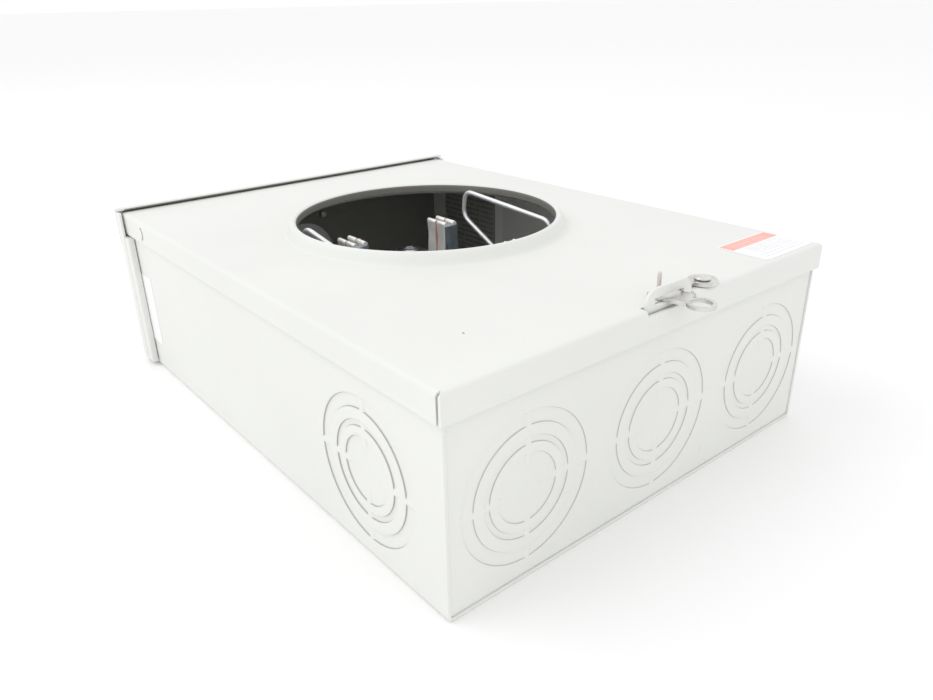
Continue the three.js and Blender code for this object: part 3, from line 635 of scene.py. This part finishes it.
def rounded(node, name, look, width=0.25):
    """A CAD node's shape with its loose triangles merged and its edges slightly rounded."""
    mesh = frame["nodes"][node].data.copy()
    mesh.name = name
    mesh.materials.clear()
    mesh.materials.append(look)
    work = bmesh.new()
    work.from_mesh(mesh)
    bmesh.ops.remove_doubles(work, verts=work.verts, dist=2e-6)
    work.to_mesh(mesh)
    work.free()
    piece = bpy.data.objects.new(name, mesh)
    bpy.context.scene.collection.objects.link(piece)
    edge = piece.modifiers.new("edge", "BEVEL")
    edge.width, edge.segments, edge.limit_method = width * MM, 2, "ANGLE"
    edge.angle_limit = math.radians(40)
    evaluated = piece.evaluated_get(bpy.context.evaluated_depsgraph_get())
    piece.data = bpy.data.meshes.new_from_object(evaluated)
    piece.modifiers.clear()
    piece.data.shade_smooth()
    piece.data.set_sharp_from_angle(angle=math.radians(32))
    return piece


def body_of(node):
    """The moving body that the record puts a node in."""
    return next(body for body, nodes in frame["record"]["behaviour"]["bodies"].items() if node in nodes)


settle(rounded("top_end_cap", "hood_and_end", CAP_PAINT, 0.3), "enclosure", "paint", "top_end_cap")


def block(x, y, z):
    """A plain box, as a closed tube of four-cornered rings along z."""
    corners = [(x[0], y[0]), (x[1], y[0]), (x[1], y[1]), (x[0], y[1]), (x[0], y[0])]
    heart = ((x[0] + x[1]) / 2, (y[0] + y[1]) / 2)
    rows = [[(*heart, z[0])] * 5] + [[(*c, level) for c in corners] for level in z] + [[(*heart, z[1])] * 5]
    return np.array(rows, float)


# the side edges of the hood are hemmed, which nearly closes the gap to the pan's walls
HEM_GAP, HEM_INSIDE = 0.6, 0.35
HEM_Y = (HOOD_START - 0.03, CAP_END - SHEET - 0.1)
HEM_Z = (2.5, EDGE_FOOT - 1.5)
for side in (-1, 1):
    hem_x = sorted((side * (PAN_HALF + HEM_GAP), side * (CAP_HALF - HEM_INSIDE)))
    hem = new_piece(f"hood_hem_{'left' if side < 0 else 'right'}", [placed(block(hem_x, HEM_Y, HEM_Z))],
                    [CAP_PAINT], middle=(side * 140, FRONT + 362, 50), width=0.3)
    settle(hem, "enclosure", "paint")


def metal(name, tone, rough, streak=(1, 1, 1), tarnish=0.06, metallic=1.0, second=None):
    """A bare or plated metal: fine streaks along its grain, cloudy tarnish, and rougher patches."""
    made, shader, place, _ = new_material(name, Metallic=metallic)
    grain = place.noise(600, 3, streak)
    clouds = place.noise(110, 3)
    low = tuple(v * (1 - tarnish * 2) for v in tone) + (1,)
    colour = clouds.step(0.35, 0.65).between(low, second + (1,) if second else tone + (1,))
    feed(shader, "Base Color", (grain * 0.25).between(colour, tuple(min(1, v * 1.06) for v in tone) + (1,)))
    feed(shader, "Roughness", grain * 0.16 + clouds * 0.14 + (rough - 0.15))
    bump(shader, grain, 0.00002, 0.4)
    return made


ZINC = metal("bright_zinc", (0.72, 0.715, 0.70), 0.3, tarnish=0.12, second=(0.78, 0.765, 0.74))
plate_low, plate_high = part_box("hub_closing_plate")
plate_middle_z = (plate_low.z + plate_high.z) / 2 / MM


def slab(outline, low, high, edge):
    """A flat piece with a convex outline in x and z: rings of points go from the middle of the near
    face out over a small rounded edge to the middle of the far face."""
    middle = outline.mean(0)
    inward = (middle - outline) / np.linalg.norm(middle - outline, axis=1)[:, None]
    rows = []
    for inset, y in ((1e9, low), (edge, low), (edge * 0.3, low + edge * 0.3), (0, low + edge),
                     (0, high - edge), (edge * 0.3, high - edge * 0.3), (edge, high), (1e9, high)):
        ring = np.repeat(middle[None], len(outline), 0) if inset > 1e6 else outline + inward * inset
        rows.append(np.stack([ring[:, 0], np.full(len(ring), y), ring[:, 1]], -1))
    return np.array(rows)


half_x, half_z = plate_high.x / MM, (plate_high.z - plate_low.z) / 2 / MM
plate_outline = rounded_rectangle(-half_x, half_x, plate_middle_z - half_z, plate_middle_z + half_z, 9, 72)
hub_plate = new_piece("hub_cover_plate", [slab(plate_outline, plate_low.y / MM, plate_high.y / MM, 0.4)],
                      [CAP_PAINT], middle=tuple(v / MM for v in (plate_low + plate_high) / 2))
settle(hub_plate, "enclosure", "paint", "hub_closing_plate")
for i in range(1, 5):
    hub_screw = rounded(f"hub_screw_{i}", f"hub_plate_screw_{i}", ZINC, 0.2)
    settle(hub_screw, "enclosure", "zinc", f"hub_screw_{i}")

# ---------------------------------------------------------------- latch, rivet and thumb pin
# A zinc-plated stamping that turns on a rivet near the cover's edge. Its tongue slides through the
# hasp tab and ends in an eye for a seal; a small pin riveted to it is pushed to open it.
settle(rounded("latch", "latch_stamping", ZINC, 0.35), "latch", "zinc", "latch")


def turned(profile, x, y, count=40):
    """A profile of (radius, height) points turned about a vertical axis at x, y, in mm."""
    angle = np.linspace(0, 2 * np.pi, count + 1)
    radius, height = np.array(profile, float).T
    return np.stack([x + np.outer(radius, np.cos(angle)), y + np.outer(radius, np.sin(angle)),
                     np.repeat(height[:, None], count + 1, 1)], -1)


rivet_low, rivet_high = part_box("latch_rivet")
rivet_x, rivet_y = (rivet_low.x + rivet_high.x) / 2 / MM, (rivet_low.y + rivet_high.y) / 2 / MM
tail, crown = rivet_low.z / MM, rivet_high.z / MM
# from the centre of the clenched tail, up the shank, round the head's rim to the dimple on top
rivet_profile = [(0, tail), (3.2, tail), (3.9, tail + 0.5), (3.9, tail + 1.1), (2.5, tail + 1.2),
                 (2.5, crown - 1.5), (4.0, crown - 1.5), (4.25, crown - 1.3), (4.25, crown - 0.9),
                 (3.9, crown - 0.45), (3.0, crown - 0.35), (2.8, crown - 0.5), (2.3, crown - 0.1),
                 (1.4, crown), (0.6, crown - 0.02), (0.4, crown - 0.3), (0, crown - 0.35)]
rivet = new_piece("rivet", [turned(rivet_profile, rivet_x, rivet_y)], [ZINC],
                  middle=(rivet_x, rivet_y, (tail + crown) / 2), sharp=40)
settle(rivet, "cover", "zinc", "latch_rivet")
pin_low, pin_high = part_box("latch_thumb_pin")
pin_x, pin_y = (pin_low.x + pin_high.x) / 2 / MM, (pin_low.y + pin_high.y) / 2 / MM
foot_z, tip_z = pin_low.z / MM, pin_high.z / MM
PIN_ZINC = metal("pin_steel", (0.74, 0.66, 0.63), 0.36)
pin_profile = [(0, foot_z), (1.0, foot_z), (1.1, foot_z + 0.1), (1.1, foot_z + 1.9), (1.8, foot_z + 1.9),
               (1.9, foot_z + 2.1), (1.85, foot_z + 2.6), (1.2, foot_z + 3.0), (1.05, foot_z + 3.4),
               (1.02, tip_z - 1.2), (0.95, tip_z - 0.5), (0.6, tip_z - 0.1), (0, tip_z)]
pin = new_piece("thumb_pin", [turned(pin_profile, pin_x, pin_y, 24)], [PIN_ZINC],
                middle=(pin_x, pin_y, (foot_z + tip_z) / 2), sharp=40)
settle(pin, "latch", "zinc", "latch_thumb_pin")

# ---------------------------------------------------------------- labels
# Printed vinyl labels: one with a red heading on the cover, a blank one on the left wall, and a
# wiring sheet stuck inside on the right wall. Their print is only bars and boxes that say nothing.
def label_sheet(node, name, look, axis, radius=1.2):
    """A thin sheet with round corners that fills a CAD label's box; axis is the one it is thin along."""
    low, high = (np.array(v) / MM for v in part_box(node))
    a, b = [i for i in range(3) if i != axis]
    outline = rounded_rectangle(low[a], high[a], low[b], high[b], radius, 60)
    middle = outline.mean(0)
    rows = []
    for share, level in ((0, low[axis]), (1, low[axis]), (1, high[axis]), (0, high[axis])):
        row = np.zeros((len(outline), 3))
        row[:, [a, b]] = middle + (outline - middle) * share
        row[:, axis] = level
        rows.append(row)
    return new_piece(name, [np.array(rows)], [look], middle=tuple((low + high) / 2))


def within(along, across, left, right, low, high):
    """1 inside a box of the label, whose edges are millimetres from the label's corner."""
    return (along > left) * (along < right) * (across > low) * (across < high)


def words(along, across, pitch, thick, size):
    """1 on rows of short bars that look like print: rows a pitch apart, broken at random places."""
    row = across.maths("FRACT", across / pitch)
    line = across.maths("FLOOR", across / pitch)
    spot = along.node("ShaderNodeCombineXYZ", None, X=along / size, Y=line * 3.7, Z=line * 1.3)
    breaks = Maths(along.tree, spot.outputs[0]).noise(1.0, 1)
    return (abs(row - 0.5) < thick / 2) * (breaks > 0.42)


# left, right, low and high edges
HEADING = (1, 47, 22, 31)
HEADING_WORDS = (6, 41, 23.2, 29.4)
SMALL_PRINT = (9, 44, 9.5, 20.5)
RULES = (4.2, 7.4)        # heights of two thin lines under the small print
RULE_ENDS = (5, 45)
cover_label_low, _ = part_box("cover_label")
look, shader, place, (x, y, z) = new_material("cover_label_print", Roughness=0.35)
u, v = (x - cover_label_low.x) / MM, (y - cover_label_low.y) / MM
paper = place.noise(40, 2).between((0.9, 0.9, 0.91, 1), (0.94, 0.94, 0.945, 1))
heading = within(u, v, *HEADING)
fine = words(u, v, 1.9, 0.42, 1.1) * within(u, v, *SMALL_PRINT)
thin = ((abs(v - RULES[0]) < 0.22) + (abs(v - RULES[1]) < 0.22)) * (u > RULE_ENDS[0]) * (u < RULE_ENDS[1])
printed = (fine * 0.35).between(paper, (0.35, 0.38, 0.5, 1))
printed = (thin * 0.5).between(printed, (0.3, 0.33, 0.55, 1))
heading_words = words(u, v, 3.1, 0.45, 1.6) * within(u, v, *HEADING_WORDS)
red = (heading_words * 0.4).between((0.93, 0.42, 0.36, 1), (0.97, 0.8, 0.77, 1))
feed(shader, "Base Color", heading.between(printed, red))
bump(shader, place.noise(300, 2), 0.00003, 0.4)
settle(label_sheet("cover_label", "cover_notice", look, 2), "cover", "label_white", "cover_label")

look, shader, place, _ = new_material("blank_label", Roughness=0.3)
feed(shader, "Base Color", place.noise(30, 2).between((0.93, 0.93, 0.93, 1), (0.97, 0.97, 0.97, 1)))
bump(shader, place.noise(260, 2), 0.00003, 0.4)
settle(label_sheet("side_label", "side_notice", look, 0), "enclosure", "label_white", "side_label")

MARGIN, PRINT_START = 9, 12
PRINT_LOW, PRINT_HIGH = 4, 78
BOX_WIDE, BOX_HIGH, BOX_LINE = 21.0, 26.0, 0.35
wiring_low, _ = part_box("wiring_label")
look, shader, place, (x, y, z) = new_material("wiring_sheet_print_and_shade", Roughness=0.5)
u, v = (y - wiring_low.y) / MM, (z - wiring_low.z) / MM
paper = place.noise(40, 2).between((0.92, 0.91, 0.88, 1), (0.97, 0.96, 0.93, 1))
# beyond its margin the white sheet is greyed as painted shade, since it lies in the shade inside the box
shade_field = (u > MARGIN) * 0.62
rows = words(u, v, 4.2, 0.4, 3.2) * (u > PRINT_START) * (v > PRINT_LOW) * (v < PRINT_HIGH)
upright = abs(u.maths("MODULO", u, BOX_WIDE) - BOX_WIDE / 2) < BOX_LINE
level = abs(v.maths("MODULO", v, BOX_HIGH) - BOX_HIGH / 2) < BOX_LINE
ink_and_shade = shade_field.maths("MAXIMUM", shade_field, rows * 0.78)
ink_and_shade = ink_and_shade.maths("MAXIMUM", ink_and_shade, (upright + level) * (u > PRINT_START) * 0.78)
feed(shader, "Base Color", ink_and_shade.between(paper, (0.07, 0.07, 0.065, 1)))
bump(shader, place.noise(260, 2), 0.00003, 0.4)
settle(label_sheet("wiring_label", "wiring_sheet", look, 0), "enclosure", "label_white", "wiring_label")

# ---------------------------------------------------------------- meter jaws and their clips
# Each jaw is two sprung leaves of tin-plated copper, slit into two fingers with rolled tips, on a
# base strip that steps down to the wire lug. A spring steel clip closes its near end; its blue colour is a
# painted reflection.
TIN = metal("tin_plate", (0.9, 0.9, 0.88), 0.34, streak=(1, 1, 0.08), metallic=0.35,
            second=(0.96, 0.95, 0.93))
COPPER = metal("bare_copper", (0.85, 0.4, 0.27), 0.4, metallic=0.5)
# the clip's blue tint is a painted reflection, not a finish of the steel
BLUE_REFLECTION_STEEL = metal("spring_steel_painted_blue_reflection", (0.3, 0.36, 0.43), 0.22, metallic=0.8, second=(0.36, 0.41, 0.47))
LEAF_OUT, LEAF_IN = 5.6, 2.5
BEAD_R, BEAD_Z = 1.75, 100.6
JAW_FOOT = 60.6
FINGERS_END, SLIT = 20, 1.7   # how far both fingers of a leaf reach along Y, and the gap between them
NEAR_GAP = 1.3            # from the clip's outer edge to the leaves
# the base strip: a seat, a step down and a foot under the lug, bent from 2.5 mm copper
SEAT_SHEET, SEAT_HALF, SEAT_ROUND = 2.5, 9, 0.3
SEAT_NEAR, STEP_AT, SEAT_END = -0.4, 27.7, 66.6
SEAT_TOP, SEAT_LOW = 60.8, 46.8
CORE_HALF = 1.0           # half the width of bare copper seen in the slit
CORE_FOOT = 62


def leaf_loop():
    """(x, z) round the leaf on the +X side: up its outer face, bulging in at the contact, round the
    rolled tip as an arc of 230 degrees, and down its inner face."""
    up = np.linspace(0, 1, 12)
    z = JAW_FOOT + (BEAD_Z - 1.4 - JAW_FOOT) * up
    pinch = np.exp(-((z - 91) / 6.0) ** 2)
    outer = np.stack([LEAF_OUT - 0.2 - 0.7 * pinch, z], -1)
    inner = np.stack([LEAF_IN + 0.5 - 1.1 * pinch, z], -1)[::-1]
    arc = np.radians(np.linspace(-25, 205, 13))
    bead_x = LEAF_OUT - BEAD_R
    bead = np.stack([bead_x + BEAD_R * np.cos(arc), BEAD_Z + BEAD_R * np.sin(arc)], -1)
    loop = np.concatenate([outer, bead, inner])
    return np.append(loop, loop[:1], 0)


def bar_along_y(loop, start, end, edge=0.35):
    """A closed (x, z) loop carried from start to end along Y. Its ends close to a line down the
    middle of the loop, over a small rounded edge."""
    count = len(loop)
    across = loop[::-1]
    spine = (loop + across) / 2
    rows = []
    for share, y in ((1, start), (0.12, start), (0, start + edge), (0, end - edge), (0.12, end), (1, end)):
        ring = loop + (spine - loop) * share
        rows.append(np.stack([ring[:, 0], np.full(count, y), ring[:, 1]], -1))
    return np.array(rows)


def seat_strip():
    """The base strip: its outline in y and z, carried from one side edge to the other along X."""
    under, step = SEAT_TOP - SEAT_SHEET, STEP_AT - SEAT_SHEET
    outline = [(SEAT_NEAR, under), (SEAT_NEAR, SEAT_TOP), (STEP_AT, SEAT_TOP), (STEP_AT, SEAT_LOW),
               (SEAT_END, SEAT_LOW), (SEAT_END, SEAT_LOW - SEAT_SHEET), (step, SEAT_LOW - SEAT_SHEET),
               (step, under), (SEAT_NEAR, under)]
    edges = (-SEAT_HALF, SEAT_ROUND - SEAT_HALF, SEAT_HALF - SEAT_ROUND, SEAT_HALF)
    return np.array([[(x, y, z) for y, z in outline] for x in edges], float)


def in_place(grids, facing, centre_x, near):
    """The points of a jaw, turned half round if it faces the other way, and moved to its place."""
    return [grid * (facing, facing, 1) + (centre_x, near, 0) for grid in grids]


slit_y = FINGERS_END / 2
fingers = ((0, slit_y - SLIT / 2), (slit_y + SLIT / 2, FINGERS_END))
leaves = [bar_along_y(leaf_loop() * (leaf, 1), *finger) for leaf in (-1, 1) for finger in fingers]
jaw_grids = leaves + [seat_strip()]
copper = [np.array([[(leaf * (LEAF_OUT - 0.6), y, z) for z in (CORE_FOOT, BEAD_Z + 1.1)]
                    for y in (slit_y - CORE_HALF, slit_y + CORE_HALF)], float) for leaf in (-1, 1)]

for side in ("left", "right"):
    for role, facing in (("line", 1), ("load", -1)):
        low, high = (np.array(v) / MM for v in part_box(f"jaw_{role}_{side}"))
        clip_low, clip_high = (np.array(v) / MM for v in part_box(f"jaw_clip_{role}_{side}"))
        near = clip_low[1] + NEAR_GAP if facing > 0 else clip_high[1] - NEAR_GAP
        spot = (facing, (low[0] + high[0]) / 2, near)
        jaw = new_piece(f"contact_jaw_{role}_{side}", in_place(jaw_grids, *spot), [TIN], sharp=40)
        settle(jaw, "enclosure", "tinned_copper", f"jaw_{role}_{side}")
        core = new_piece(f"jaw_core_{role}_{side}", in_place(copper, *spot), [COPPER], thickness=1.2)
        settle(core, "enclosure", "tinned_copper")
        clip = rounded(f"jaw_clip_{role}_{side}", f"spring_clip_{role}_{side}", BLUE_REFLECTION_STEEL, 0.3)
        settle(clip, "enclosure", "spring_steel", f"jaw_clip_{role}_{side}")

# ---------------------------------------------------------------- wire supports
# A bent steel wire on each side of the jaws steadies the meter's base: a straight rail on top,
# turned down at both ends and back to two feet in a post on the bracket.
WIRE_R = 1.6
SAG = {"left": 13.0, "right": 6.0}    # both rails sag towards the latch, the left one more
RAIL_END = {"left": 36, "right": 44}
WIRE_ZINC = metal("drawn_wire", (0.9, 0.91, 0.93), 0.42, streak=(1, 0.1, 1), metallic=0.6)


def rounded_path(corners, radius, steps=9):
    """A path through corners in y and z, each turned by a quadratic curve that starts and ends a
    radius away from the corner, with evenly shared points on the straights."""
    corners = np.array(corners, float)
    path = [corners[0]]
    for before, corner, after in zip(corners[:-2], corners[1:-1], corners[2:]):
        into, out = before - corner, after - corner
        a = corner + into / np.linalg.norm(into) * min(radius, np.linalg.norm(into) / 2)
        b = corner + out / np.linalg.norm(out) * min(radius, np.linalg.norm(out) / 2)
        t = np.linspace(0, 1, steps)[:, None]
        path.extend((1 - t) ** 2 * a + 2 * t * (1 - t) * corner + t ** 2 * b)
    path.append(corners[-1])
    return np.array(path)


def wire(path, x, radius, count=18):
    """A round wire along a path in the plane of one x: circles square to the path, closed at both ends."""
    way = np.gradient(path, axis=0)
    way /= np.linalg.norm(way, axis=1)[:, None]
    square = np.stack([-way[:, 1], way[:, 0]], -1)
    angle = np.linspace(0, 2 * np.pi, count + 1)
    size = np.full(len(path), radius)
    path = np.concatenate([path[:1], path, path[-1:]])
    square = np.concatenate([square[:1], square, square[-1:]])
    size = np.concatenate([[0], size, [0]])
    flat = path[:, None] + square[:, None] * (size[:, None] * np.cos(angle))[..., None]
    return np.concatenate([(x + size[:, None] * np.sin(angle))[..., None], flat], -1)


for side in ("left", "right"):
    low, high = (np.array(v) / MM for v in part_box(f"meter_support_{side}"))
    middle, rail_z = (low[1] + high[1]) / 2, high[2] - WIRE_R
    corners = [(-7, 22), (-7, 72), (-47, 92), (-44, rail_z - SAG[side]), (RAIL_END[side], rail_z),
               (47, 97), (7, 77), (7, 22)]
    path = rounded_path([(y + middle, z) for y, z in corners], 7.5)
    support = new_piece(f"wire_support_{side}", [wire(path, (low[0] + high[0]) / 2, WIRE_R)],
                        [WIRE_ZINC], sharp=60)
    settle(support, "enclosure", "zinc", f"meter_support_{side}")

# ---------------------------------------------------------------- socket base, lugs and grounding
# The jaws stand on black moulded blocks on a plated steel bracket. Wire lugs and their set screws
# are plain aluminium, and a neutral bar and a ground lug are screwed to the bracket and the pan.
PHENOLIC, shader, place, _ = new_material("moulded_phenolic")
fleck = place.noise(1500, 2)
feed(shader, "Base Color", fleck.step(0.4, 0.7).between((0.028, 0.028, 0.028, 1), (0.07, 0.068, 0.065, 1)))
feed(shader, "Roughness", place.noise(60, 2) * 0.2 + 0.42)
bump(shader, fleck, 0.00005, 0.6)
ALUMINIUM = metal("extruded_aluminium", (0.79, 0.8, 0.81), 0.38, streak=(1, 0.06, 1))
LOOKS = {"zinc": ZINC, "aluminium": ALUMINIUM, "phenolic": PHENOLIC}
INNER_PARTS = ("socket_", "lug_", "jaw_bolt", "block_screw", "support_clamp", "neutral_", "ground_")
WIDTHS = {"socket_block": 0.7, "lug": 0.5, "neutral_bar": 0.4, "ground_lug": 0.4, "support_clamp": 0.4}
slots = {row["node"]: row["material_slot"] for row in frame["record"]["subparts"]}
for node in sorted(slots):
    if node.startswith(INNER_PARTS):
        width = next((w for start, w in WIDTHS.items() if node.startswith(start)), 0.2)
        piece = rounded(node, f"{node}_part", LOOKS[slots[node]], 0.2 if "screw" in node else width)
        settle(piece, body_of(node), slots[node], node)
